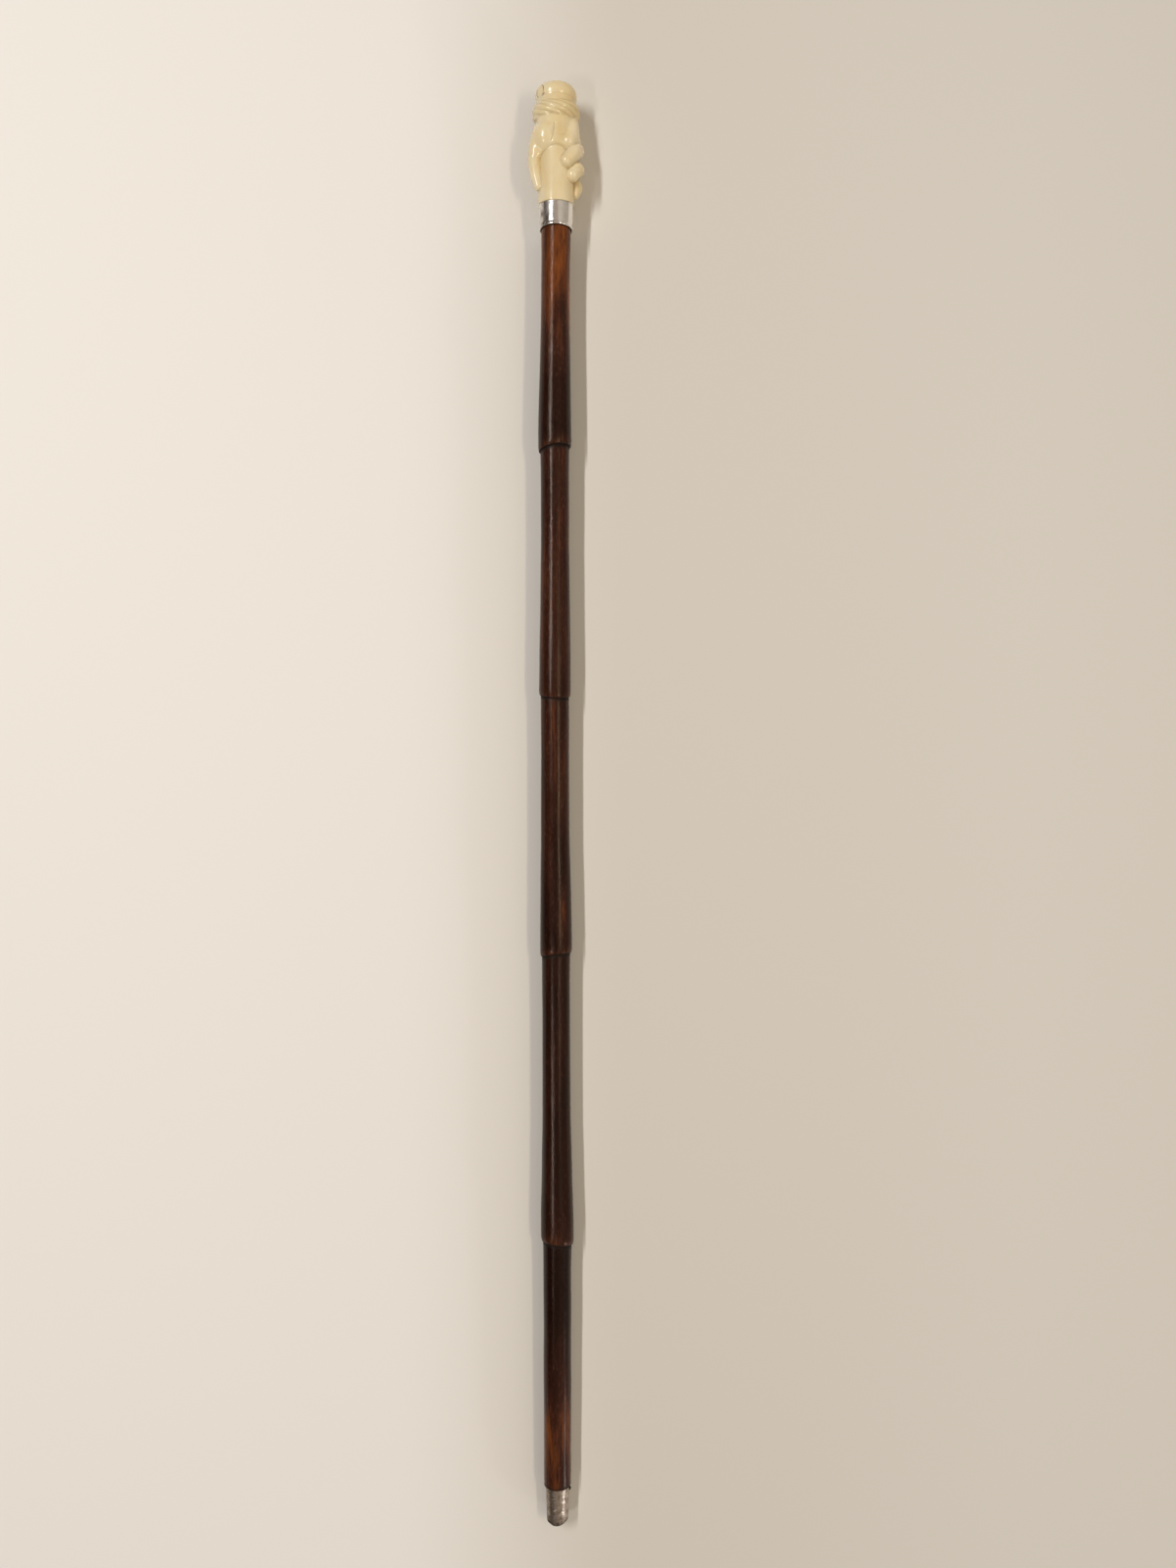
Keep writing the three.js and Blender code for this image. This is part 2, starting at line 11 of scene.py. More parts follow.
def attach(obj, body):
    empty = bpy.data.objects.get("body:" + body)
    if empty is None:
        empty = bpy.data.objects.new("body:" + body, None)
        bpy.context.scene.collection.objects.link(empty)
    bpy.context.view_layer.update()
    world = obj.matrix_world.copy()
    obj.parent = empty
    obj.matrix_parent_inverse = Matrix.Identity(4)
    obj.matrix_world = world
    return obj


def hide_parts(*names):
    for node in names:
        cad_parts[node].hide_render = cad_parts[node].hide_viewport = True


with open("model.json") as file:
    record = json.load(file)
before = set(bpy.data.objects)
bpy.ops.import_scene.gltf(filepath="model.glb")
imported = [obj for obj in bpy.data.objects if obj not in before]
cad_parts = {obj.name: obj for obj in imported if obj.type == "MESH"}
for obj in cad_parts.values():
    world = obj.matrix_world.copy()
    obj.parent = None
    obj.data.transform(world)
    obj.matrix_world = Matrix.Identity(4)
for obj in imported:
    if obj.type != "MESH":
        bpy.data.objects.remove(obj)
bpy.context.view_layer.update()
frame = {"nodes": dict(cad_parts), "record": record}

scene = bpy.context.scene

# The cane's own frame, in mm: x to the finger side, y up the cane from its foot, z to the palm side
footMount = next(m for m in frame["record"]["mounts"] if m["name"] == "foot")
upTheCane = -Vector(footMount["axis"]).normalized()
palmSide = Vector((1, 0, 0)).cross(upTheCane).normalized()

# What the photograph is taken with

photoCamera = {"place": (0.01965, 0.01549, 0.7515), "lens": 18.03, "sensorHeight": 24}

# Tubes on the ceiling along the cane, and a window by its foot: place, size, power and colour
lamps = {
    "leftTube": ((-1.08, 0.77, 1.9), (0.09, 1.08), 28, (1, 0.982, 0.945)),
    "leftLowTube": ((-1.08, -0.84, 1.9), (0.09, 0.56), 8.5, (1, 0.965, 0.905)),
    "rightTube": ((1.14, -0.07, 1.9), (0.14, 0.48), 5, (1, 0.87, 0.62)),
    "rightWideTube": ((1.14, -0.11, 1.9), (0.14, 1.32), 5.4, (1, 0.88, 0.68)),
    "daylight": ((2.0, -1.87, 0.75), (0.16, 0.4), 9, (0.95, 0.96, 1)),
}

# The room: dark on the left, a pale ceiling, and brighter on the right, where daylight comes in
roomLight = [  # colour, and the sideways lean of the directions over which it comes in
    ((0.045, 0.028, 0.018), None),
    ((0.35, 0.29, 0.24), (-0.45, -0.12)),
    ((0.52, 0.455, 0.385), (0.12, 0.34)),
    ((0.38, 0.33, 0.27), (0.55, 0.9)),
]
floorPaintedShade = {  # painted shade: its colour darkens and yellows towards the right of the cane, then lightens a little: (colour, x in metres)
    "left": ((0.79, 0.775, 0.76), -0.11),
    "middle": ((0.632, 0.604, 0.56), 0.05),
    "right": ((0.67, 0.65, 0.62), 0.30),
    "size": 8,
}


def placeCamera():
    made = bpy.data.objects.new("photoCamera", bpy.data.cameras.new("photoCamera"))
    made.data.sensor_fit = "VERTICAL"
    made.data.sensor_height = photoCamera["sensorHeight"]
    made.data.lens = photoCamera["lens"]
    made.data.clip_start = 0.01
    made.location = photoCamera["place"]
    scene.collection.objects.link(made)
    scene.camera = made


def hangLamps():
    for name, (place, size, power, colour) in lamps.items():
        light = bpy.data.lights.new(name, "AREA")
        light.shape = "RECTANGLE"
        light.size, light.size_y = size
        light.energy = power
        light.color = colour
        made = bpy.data.objects.new(name, light)
        made.location = place
        made.rotation_euler = (0, math.atan2(place[0], place[2]), 0)
        scene.collection.objects.link(made)
    scene.view_settings.view_transform = "Standard"


def lightRoom():
    world = bpy.data.worlds.new("room")
    world.use_nodes = True
    tree = world.node_tree
    direction = addNode(tree, "TexCoord").outputs["Generated"]
    sideways = addNode(tree, "SeparateXYZ", {"Vector": direction}).outputs["X"]
    (colour, _), *others = roomLight
    light = addNode(tree, "RGB").outputs[0]
    light.default_value = (*colour, 1)
    for colour, (low, high) in others:
        share = addNode(tree, "MapRange", {"Value": sideways, "From Min": low, "From Max": high},
                        interpolation_type="SMOOTHSTEP")
        glow = addNode(tree, "Mix", {0: share.outputs[0], 6: light, 7: (*colour, 1)}, data_type="RGBA")
        light = glow.outputs[2]
    tree.links.new(light, tree.nodes["Background"].inputs["Color"])
    scene.world = world


# Materials


# Inputs are sockets to link or plain values, by name or number
def addNode(tree, kind, inputs=None, **settings):
    made = tree.nodes.new("ShaderNode" + kind)
    for key, value in settings.items():
        setattr(made, key, value)
    for key, value in (inputs or {}).items():
        if isinstance(value, bpy.types.NodeSocket):
            tree.links.new(value, made.inputs[key])
        else:
            made.inputs[key].default_value = value
    return made


# One material, with the few node patterns that the pieces share
class Finish:
    def __init__(self, name, **shader):
        self.material = bpy.data.materials.new(name)
        self.material.use_nodes = True
        self.tree = self.material.node_tree
        self.shader = self.tree.nodes["Principled BSDF"]
        for key, value in shader.items():
            self.shader.inputs[key.replace("_", " ")].default_value = value
        self.place = addNode(self.tree, "TexCoord").outputs["Object"]
        self.bumps = None

    # Noise from 0 to 1; scale is per metre, along x, y and z
    def spots(self, scale, detail=3, roughness=0.5, seed=0.0):
        spread = addNode(self.tree, "Mapping", {
            "Vector": self.place, "Location": (seed, seed, seed), "Scale": scale,
        })
        return addNode(self.tree, "TexNoise", {
            "Vector": spread.outputs[0], "Scale": 1.0, "Detail": detail, "Roughness": roughness,
        }).outputs[0]

    # A value painted on the piece's points
    def layer(self, name):
        return addNode(self.tree, "Attribute", attribute_name=name).outputs["Fac"]

    # Stretches the part of a value from low to high over a new span
    def span(self, value, low, high, toLow=0.0, toHigh=1.0):
        return addNode(self.tree, "MapRange", {
            "Value": value, "From Min": low, "From Max": high, "To Min": toLow, "To Max": toHigh,
        }).outputs[0]

    def times(self, a, b):
        return addNode(self.tree, "Math", {0: a, 1: b}, operation="MULTIPLY", use_clamp=True).outputs[0]

    # Dirt is rougher than what it lies on
    def dulled(self, rough, share):
        dirt = self.times(self.layer("grimeAndShade"), share)
        return addNode(self.tree, "Math", {0: rough, 1: dirt}, operation="ADD", use_clamp=True).outputs[0]

    # Mixes two colours by a share
    def blend(self, share, a, b):
        a, b = ((*value, 1) if isinstance(value, tuple) else value for value in (a, b))
        return addNode(self.tree, "Mix", {0: share, 6: a, 7: b}, data_type="RGBA").outputs[2]

    # Adds relief; distance in metres
    def bump(self, height, distance, strength=1.0):
        made = addNode(self.tree, "Bump", {"Height": height, "Distance": distance, "Strength": strength})
        if self.bumps:
            self.tree.links.new(self.bumps, made.inputs["Normal"])
        self.bumps = made.outputs[0]

    # Links what is worked out point by point, and gives the material
    def done(self, **outputs):
        for key, value in outputs.items():
            self.tree.links.new(value, self.shader.inputs[key.replace("_", " ")])
        if self.bumps:
            self.tree.links.new(self.bumps, self.shader.inputs["Normal"])
        return self.material


ivoryColours = {
    "pale": (0.77, 0.675, 0.475), "deep": (0.72, 0.59, 0.35),
    "stainAndShade": (0.57, 0.42, 0.155), "grimeAndShade": (0.16, 0.085, 0.03),
}


def ivoryFinish():
    finish = Finish("agedIvory", Roughness=0.17, Subsurface_Weight=0.28, Subsurface_Scale=0.002,
                    Subsurface_Radius=(1.0, 0.62, 0.3), Specular_IOR_Level=0.5)
    mottle = finish.spots((55, 40, 55), detail=3)
    grain = finish.spots((900, 60, 900), detail=2, seed=3.1)
    colour = finish.blend(finish.span(mottle, 0.35, 0.65), ivoryColours["deep"], ivoryColours["pale"])
    colour = finish.blend(finish.span(grain, 0.3, 0.7, 0.0, 0.10), colour, ivoryColours["deep"])
    # Yellowing, and warm painted shade in the broad hollows, tint the ivory
    colour = finish.blend(finish.layer("stainAndShade"), colour, ivoryColours["stainAndShade"])
    # Dirt, and shade painted into the creases and hollows, darken the ivory
    colour = finish.blend(finish.layer("grimeAndShade"), colour, ivoryColours["grimeAndShade"])
    finish.bump(finish.spots((260, 180, 260), detail=2, seed=5), 0.00008, 0.4)
    worn = finish.span(mottle, 0.3, 0.7, 0.19, 0.26)
    return finish.done(Base_Color=colour, Roughness=finish.dulled(worn, 0.4))


caneColours = {
    "dark": (0.0085, 0.0026, 0.0016),
    "brown": (0.044, 0.0135, 0.0070),
    "red": (0.19, 0.053, 0.011),
    "fleck": (0.12, 0.052, 0.034),
    "fringe": (0.12, 0.042, 0.020),
    "dirt": (0.003, 0.0016, 0.001),
}


def caneFinish():
    finish = Finish("darkStainedCane", Roughness=0.2, Specular_IOR_Level=0.18,
                    Specular_Tint=(1, 0.82, 0.74, 1))
    redness, fringe, dirt = (finish.layer(name) for name in ("redness", "fringe", "grimeAndShade"))
    streaks = finish.spots((850, 75, 850), detail=4, roughness=0.62)
    broad = finish.spots((230, 22, 230), detail=3, seed=2.3)
    flecks = finish.spots((1500, 300, 1500), detail=3, roughness=0.6, seed=7)
    warmth = finish.times(finish.span(streaks, 0.30, 0.75), finish.span(broad, 0.30, 0.66))
    share = finish.times(redness, finish.span(warmth, 0.0, 0.5, 0.45, 1.0))
    colour = finish.blend(finish.span(share, 0.02, 0.45), caneColours["dark"], caneColours["brown"])
    colour = finish.blend(finish.span(share, 0.40, 1.0), colour, caneColours["red"])
    frayed = finish.times(fringe, finish.span(streaks, 0.35, 0.7))
    colour = finish.blend(frayed, colour, caneColours["fringe"])
    pale = finish.times(finish.span(flecks, 0.56, 0.72), finish.span(redness, 0.0, 0.5, 0.12, 0.55))
    colour = finish.blend(pale, colour, caneColours["fleck"])
    pores = finish.times(finish.span(flecks, 0.40, 0.28), 0.45)
    colour = finish.blend(pores, colour, caneColours["dirt"])
    colour = finish.blend(dirt, colour, caneColours["dirt"])
    finish.bump(streaks, 0.00008, 0.6)
    finish.bump(flecks, 0.00006, 1.0)
    gloss = finish.span(finish.spots((420, 90, 420), detail=3, seed=4), 0.3, 0.7, 0.17, 0.27)
    return finish.done(Base_Color=colour, Roughness=finish.dulled(gloss, 0.4))


silverColours = {"bright": (0.94, 0.92, 0.89), "dull": (0.76, 0.72, 0.67), "grimeAndShade": (0.10, 0.07, 0.05)}


def silverFinish():
    finish = Finish("wornSilver", Metallic=1.0, Roughness=0.14)
    tarnish = finish.spots((160, 160, 160), detail=3)
    knocks = finish.spots((420, 300, 420), detail=2, seed=4.4)
    dull = finish.span(tarnish, 0.4, 0.75, 0, 0.6)
    colour = finish.blend(dull, silverColours["bright"], silverColours["dull"])
    # Tarnish, with painted shadow at the top edge and a painted dark reflection on the thumb side
    colour = finish.blend(finish.layer("grimeAndShade"), colour, silverColours["grimeAndShade"])
    finish.bump(knocks, 0.00006, 0.35)
    rough = finish.span(tarnish, 0.3, 0.7, 0.12, 0.17)
    return finish.done(Base_Color=colour, Roughness=finish.dulled(rough, 0.4))


nickelColours = {"bright": (0.60, 0.52, 0.45), "dull": (0.25, 0.19, 0.145), "grimeAndShade": (0.05, 0.033, 0.022)}


def nickelFinish():
    finish = Finish("hammeredNickel", Metallic=1.0, Roughness=0.3)
    tarnish = finish.spots((520, 420, 520), detail=5, roughness=0.65, seed=2)
    colour = finish.blend(finish.span(tarnish, 0.35, 0.65), nickelColours["bright"], nickelColours["dull"])
    # Tarnish, with painted shade at the foot and in the dents and a painted dark reflection on the left
    colour = finish.blend(finish.layer("grimeAndShade"), colour, nickelColours["grimeAndShade"])
    finish.bump(finish.spots((1400, 1400, 1400), detail=3, seed=6), 0.00008, 0.5)
    rough = finish.span(tarnish, 0.3, 0.7, 0.22, 0.42)
    return finish.done(Base_Color=colour, Roughness=finish.dulled(rough, 0.3))


steelColours = {"bare": (0.10, 0.075, 0.058), "rust": (0.028, 0.015, 0.009)}


def steelFinish():
    finish = Finish("wornSteel", Metallic=0.85, Roughness=0.5)
    rust = finish.spots((900, 900, 900), detail=4, seed=1)
    colour = finish.blend(finish.span(rust, 0.38, 0.6), steelColours["bare"], steelColours["rust"])
    finish.bump(rust, 0.00015, 0.6)
    return finish.done(Base_Color=colour, Roughness=finish.span(rust, 0.3, 0.7, 0.4, 0.7))


pitchColours = {"dark": (0.010, 0.006, 0.004), "dusty": (0.035, 0.018, 0.010)}


def pitchFinish():
    finish = Finish("oldPitch", Roughness=0.5, Specular_IOR_Level=0.4)
    lumps = finish.spots((900, 900, 900), detail=3)
    colour = finish.blend(finish.span(lumps, 0.35, 0.65), pitchColours["dark"], pitchColours["dusty"])
    finish.bump(lumps, 0.0003, 0.7)
    return finish.done(Base_Color=colour, Roughness=finish.span(lumps, 0.3, 0.7, 0.4, 0.65))


def floorFinish():
    finish = Finish("paleFloor", Roughness=0.62, Specular_IOR_Level=0.2)
    side = addNode(finish.tree, "SeparateXYZ", {"Vector": finish.place}).outputs["X"]
    left, leftEnd = floorPaintedShade["left"]
    middle, middleEnd = floorPaintedShade["middle"]
    right, rightEnd = floorPaintedShade["right"]
    # Painted shade: the floor is darker and yellower to the right of the cane
    fromLeft = addNode(finish.tree, "MapRange", {"Value": side, "From Min": leftEnd, "From Max": middleEnd},
                       interpolation_type="SMOOTHSTEP").outputs[0]
    colour = finish.blend(fromLeft, left, middle)
    return finish.done(Base_Color=finish.blend(finish.span(side, middleEnd, rightEnd), colour, right))


# Shared ways of making a piece

# How the cane's middle line wanders: (height, mm to the finger side)
caneLine = [
    (0, 0.80), (24, 0.76), (130, 0.70), (177, 0.66), (290, 0.08), (358, -0.12), (440, -0.54), (520, -0.72),
    (595, -0.64), (640, -0.70), (690, -0.82), (757, -0.52), (795, -0.12), (811, 0.0),
]
footDrift = caneLine[0][1]

# From mm in the cane's frame to metres on the floor
toWorld = Matrix.Identity(4)
for row in range(3):
    for column, axis in enumerate(((1, 0, 0), upTheCane, palmSide)):
        toWorld[row][column] = 0.001 * axis[row]
    toWorld[row][3] = footMount["pos_m"][row]
toWorld[0][3] -= 0.001 * footDrift
liftOffFloor = 2e-5


def clamp(value, low=0.0, high=1.0):
    return min(max(value, low), high)


def smoothStep(value, low, high):
    share = clamp((value - low) / (high - low))
    return share * share * (3 - 2 * share)


def between(a, b, share):
    return a + (b - a) * share


# A point at a turn in degrees from the palm side towards the fingers
def around(turn, height, out):
    angle = math.radians(turn)
    return Vector((out * math.sin(angle), height, out * math.cos(angle)))


# How far round the cane a point lies, from the palm side towards the fingers
def turnOf(point):
    return math.atan2(point.x, point.z)


# The same for many places, in degrees
def turnsOf(places):
    return np.degrees(np.arctan2(places[:, 0], places[:, 2]))


# Straight out from the cane's axis
def outwards(point):
    return Vector((point.x, 0, point.z)).normalized()


# Spins an outline of (radius, height) round the cane's axis; a ring's outline closes on itself
def turnedForm(outline, steps, ring=False):
    form = bmesh.new()
    corners = [form.verts.new((radius, height, 0)) for radius, height in outline]
    ends = corners[1:] + corners[:1] if ring else corners[1:]
    sides = [form.edges.new(pair) for pair in zip(corners, ends)]
    bmesh.ops.spin(form, geom=corners + sides, cent=(0, 0, 0), axis=(0, 1, 0),
                   angle=math.tau, steps=steps, use_merge=True)
    bmesh.ops.remove_doubles(form, verts=form.verts, dist=1e-4)
    bmesh.ops.recalc_face_normals(form, faces=form.faces)
    return form


def asMesh(form, name="form"):
    mesh = bpy.data.meshes.new(name)
    form.to_mesh(mesh)
    form.free()
    return mesh


def joined(meshes):
    whole = bmesh.new()
    for mesh in meshes:
        whole.from_mesh(mesh)
        bpy.data.meshes.remove(mesh)
    return asMesh(whole)


# The mesh after a row of modifiers, each (kind, its settings)
def reshaped(mesh, *steps):
    carrier = bpy.data.objects.new("carrier", mesh)
    scene.collection.objects.link(carrier)
    for kind, settings in steps:
        modifier = carrier.modifiers.new(kind, kind)
        for key, value in settings.items():
            setattr(modifier, key, value)
    graph = bpy.context.evaluated_depsgraph_get()
    made = bpy.data.meshes.new_from_object(carrier.evaluated_get(graph))
    bpy.data.objects.remove(carrier)
    return made


def points(mesh, what="co"):
    values = np.empty(len(mesh.vertices) * 3)
    mesh.vertices.foreach_get(what, values)
    return values.reshape(-1, 3)


def setPoints(mesh, places):
    mesh.vertices.foreach_set("co", places.ravel())
    mesh.update()


# Keeps a value for each point, for the materials
def paint(mesh, name, values):
    attribute = mesh.attributes.get(name) or mesh.attributes.new(name, "FLOAT", "POINT")
    attribute.data.foreach_set("value", np.clip(np.asarray(values, np.float32), 0, 1))


# 0 on open ground to 1 in hollows that are depth mm deep over reach rounds of smoothing
def hollows(mesh, reach, depth):
    smooth = reshaped(mesh.copy(), ("SMOOTH", {"factor": 0.5, "iterations": reach}))
    lifted = ((points(smooth) - points(mesh)) * points(mesh, "normal")).sum(axis=1)
    bpy.data.meshes.remove(smooth)
    return np.clip(lifted / depth, 0, 1)


# Turns a finished mesh in mm into the piece that stands for a CAD node
def placed(mesh, name, finish, node, softUnder=40):
    places = points(mesh)
    places[:, 0] += np.interp(places[:, 1], *zip(*caneLine))
    setPoints(mesh, places)
    mesh.transform(toWorld)
    places = points(mesh)
    places[:, 2] = np.maximum(places[:, 2], liftOffFloor)  # nothing reaches through the floor
    setPoints(mesh, places)
    mesh.name = name
    mesh.materials.clear()
    mesh.materials.append(finish)
    mesh.shade_smooth()
    mesh.set_sharp_from_angle(angle=math.radians(softUnder))
    piece = bpy.data.objects.new(name, mesh)
    scene.collection.objects.link(piece)
    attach(piece, "root")
    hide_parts(node)
    print(name, "has", len(mesh.polygons), "faces")


# Collar and handle share the joint's heights

jointSizes = {
    "collarFoot": 810.5, "collarTop": 826.0, "lean": 0.11,
    "footDiameter": 20.8, "topDiameter": 22.2, "wall": 0.5,
    "spigotTop": 818.9, "spigotDiameter": 16.4, "gap": 0.3,
    "beadHeight": 1.5, "beadDepth": 0.35, "rodShowing": 31.0,
    "packingSqueeze": 0.2, "packingStandsOff": 1.05, "packingShowing": 1.2,
    "studBore": 3.3, "studInHandle": 38.0, "studInShaft": 40.0, "boreDeeper": 1.0,
}
collarWearAndShade = {
    "knockReach": 5.5, "knockDepth": 0.10, "polishedOff": 0.06, "polishReach": 5,
    "blotchSize": (2.2, 4, 2.2),
    "darkReflectionTurn": -42, "darkReflectionReach": 26,  # a dark reflection of the room painted on the thumb side, in degrees
    "aboveRim": 1.7, "aboveRimReach": 0.4, "topShadowReach": 0.35,
}


# The radius of the collar's bore
def collarInside(height):
    share = (height - jointSizes["collarFoot"]) / (jointSizes["collarTop"] - jointSizes["collarFoot"])
    return between(jointSizes["footDiameter"], jointSizes["topDiameter"], share) / 2 - jointSizes["wall"]


# The joint's edge lies lower on the palm side
def leaned(point):
    gap, top = jointSizes["gap"], jointSizes["collarTop"]
    start = jointSizes["spigotTop"] + 2 * gap
    rise = clamp((point.y - start) / (top - start))
    fade = clamp((point.y - top - 2 * gap) / jointSizes["rodShowing"])
    return point.y - jointSizes["lean"] * rise * (1 - fade) * point.z


# Moves a point of a skin in or out, as knocks do
def knocked(point, scale, depth, seed=0.0):
    return point + outwards(point) * noise.noise(point / scale + Vector((seed, seed, seed))) * depth


def makeCollar(finish):
    sizes = jointSizes
    low, top = sizes["collarFoot"], sizes["collarTop"]
    footRadius, topRadius = sizes["footDiameter"] / 2, sizes["topDiameter"] / 2
    bead = sizes["beadDepth"]
    outline = [(collarInside(low), low), (footRadius + bead * 0.2, low)]
    outline.append((footRadius + bead * 0.75, low + 0.12))
    for i in range(53):  # the rolled rim runs softly into the band
        height = between(low + 0.3, top - 0.12, (i / 52) ** 1.25)
        swell = bead * math.exp(-((height - low - 0.55) / (0.55 * sizes["beadHeight"])) ** 2)
        outline.append((between(footRadius, topRadius, (height - low) / (top - low)) + swell, height))
    outline += [(topRadius - 0.1, top), (collarInside(top) + 0.1, top), (collarInside(top), top - 0.1)]
    form = turnedForm(outline, 180, ring=True)
    wear = collarWearAndShade
    for v in form.verts:
        outside = math.hypot(v.co.x, v.co.z) > collarInside(v.co.y) + 0.3
        v.co.y = leaned(v.co)
        if outside:
            polished = wear["polishedOff"] * (1 + noise.noise(v.co / wear["polishReach"]))
            v.co = knocked(v.co, wear["knockReach"], wear["knockDepth"]) - outwards(v.co) * polished
    mesh = asMesh(form)
    places = points(mesh)
    height = places[:, 1]
    # Tarnish gathers above the rim and in blotches; the dark line along the top edge is painted shadow under
    # the ivory, and the dark band on the thumb side is a painted reflection of the dark room, mottled by the
    # blotches
    aboveRim = np.exp(-((height - low - wear["aboveRim"]) / wear["aboveRimReach"]) ** 2)
    topEdge = np.exp(-((height - top + sizes["lean"] * places[:, 2]) / wear["topShadowReach"]) ** 2)
    spotty = np.array([noise.noise(Vector(place)) for place in places / wear["blotchSize"]])
    leftDarkReflection = np.exp(-((turnsOf(places) - wear["darkReflectionTurn"]) / wear["darkReflectionReach"]) ** 4)
    blotchesAndReflection = np.clip(spotty - 0.45, 0, 1) * 0.8 + leftDarkReflection * np.clip(0.40 + 0.5 * spotty, 0, 1)
    paint(mesh, "grimeAndShade", aboveRim * (0.12 + 0.4 * spotty) + topEdge * 0.7 + blotchesAndReflection)
    placed(mesh, "collarBand", finish, "collar")


def makePacking(finish):
    low, squeeze = jointSizes["collarFoot"], jointSizes["packingSqueeze"]
    outer = collarInside(low) - jointSizes["gap"]
    inner = jointSizes["spigotDiameter"] / 2 + jointSizes["packingStandsOff"]
    top = low + jointSizes["packingShowing"]
    outline = [(inner, low - squeeze * 0.4), (inner + 0.25, low - squeeze), (outer - 0.2, low - squeeze),
               (outer + 0.25, low - squeeze * 0.5), (outer, low + 0.1), (outer, top), (inner, top)]
    form = turnedForm(outline, 120, ring=True)
    for v in form.verts:
        if v.co.y < low:
            v.co.y += 0.22 * noise.noise(v.co / 1.8)
            v.co = knocked(v.co, 1.6, 0.12)
    placed(asMesh(form), "collarPackingRing", finish, "collar_packing")


# The shaft

shaftSizes = {
    "foot": 24.3, "top": 810.2, "lipHeight": 4.0, "flareReach": 58.0, "neckReach": 16.0,
    "tenonFoot": 5.7, "tenonRadii": (5.75, 6.4), "ringStep": 2.2, "sides": 84,
    # height, flare, waist and neck diameters, lean of the edge towards the fingers and the palm
    "internodes": [
        (24.3, 16.6, 17.2, 17.8, 0.0, 0.0),
        (177.0, 20.4, 17.2, 17.6, -0.12, 0.10),
        (358.0, 19.8, 17.4, 17.4, 0.12, 0.11),
        (520.0, 19.6, 17.4, 18.0, -0.06, -0.18),
        (674.0, 20.6, 17.5, 18.2, 0.16, 0.12),
    ],
    "crevice": 0.28, "creviceDepth": 1.1, "wider": 0.12,
    "wander": 0.20, "wanderReach": 26, "ridges": 0.09, "ragged": 0.5, "fringeReach": 4.2,
    "fringes": (0.8, 0.7, 0.3, 0.7),  # how much pale fringe each node keeps
    "brownPatch": (28, 384, 16, 16),  # turn and height of its middle, then its half width and height
}
# How reddish the bark is along the shaft: (height, share)
shaftRedness = [
    (20, 0.72), (60, 0.74), (85, 0.4), (130, 0.06), (176, 0.04), (178, 0.22), (230, 0.18), (330, 0.14),
    (356, 0.22), (359, 0.16), (400, 0.18), (440, 0.30), (490, 0.52), (519, 0.5), (521, 0.44), (560, 0.42),
    (610, 0.38), (650, 0.36), (673, 0.46), (675, 0.10), (715, 0.14), (750, 0.66), (790, 1.05), (815, 1.05),
]


# An internode swells above its foot, narrows to its waist and widens a little at its neck
def internodeRadius(i, height):
    low, flare, waist, neck = shaftSizes["internodes"][i][:4]
    high = shaftSizes["internodes"][i + 1][0] if i + 1 < len(shaftSizes["internodes"]) else shaftSizes["top"]
    swell = (flare - waist) * math.exp(-((height - low) / shaftSizes["flareReach"]) ** 2)
    shoulder = (neck - waist) * math.exp(-((high - height) / shaftSizes["neckReach"]) ** 2)
    return (waist + swell + shoulder) / 2 + shaftSizes["wider"]


def shaftOutline():
    sizes = shaftSizes
    tenonFoot, (tenonEnd, tenonRoot) = sizes["tenonFoot"], sizes["tenonRadii"]
    outline = [(0, tenonFoot), (tenonEnd, tenonFoot), (tenonRoot, sizes["foot"])]
    for i, (low, *_) in enumerate(sizes["internodes"]):
        last = i + 1 == len(sizes["internodes"])
        high = sizes["top"] if last else sizes["internodes"][i + 1][0]
        start = low
        if i:  # the rounded step over the internode below
            below = sizes["internodes"][i - 1][3] / 2
            inner = below + sizes["crevice"]
            start = low + sizes["lipHeight"]
            lip = internodeRadius(i, start)
            outline += [(below - 0.1, low + sizes["creviceDepth"]), (inner, low + sizes["creviceDepth"])]
            for angle in np.linspace(0, math.pi / 2, 13):
                outline.append((inner + (lip - inner) * math.sin(angle) ** 0.85,
                                low + sizes["lipHeight"] * (1 - math.cos(angle))))
        rings = round((high - start) / sizes["ringStep"])
        for k in range(1 if i else 0, rings + 1):
            height = between(start, high - (0 if last else 0.4), k / rings)
            outline.append((internodeRadius(i, height), height))
    spigot = jointSizes["spigotDiameter"] / 2
    top, bore = jointSizes["spigotTop"], jointSizes["studBore"]
    boreFoot = top - jointSizes["studInShaft"] - jointSizes["boreDeeper"]
    return outline + [(spigot, sizes["top"]), (spigot, top), (bore, top), (bore, boreFoot), (0, boreFoot)]


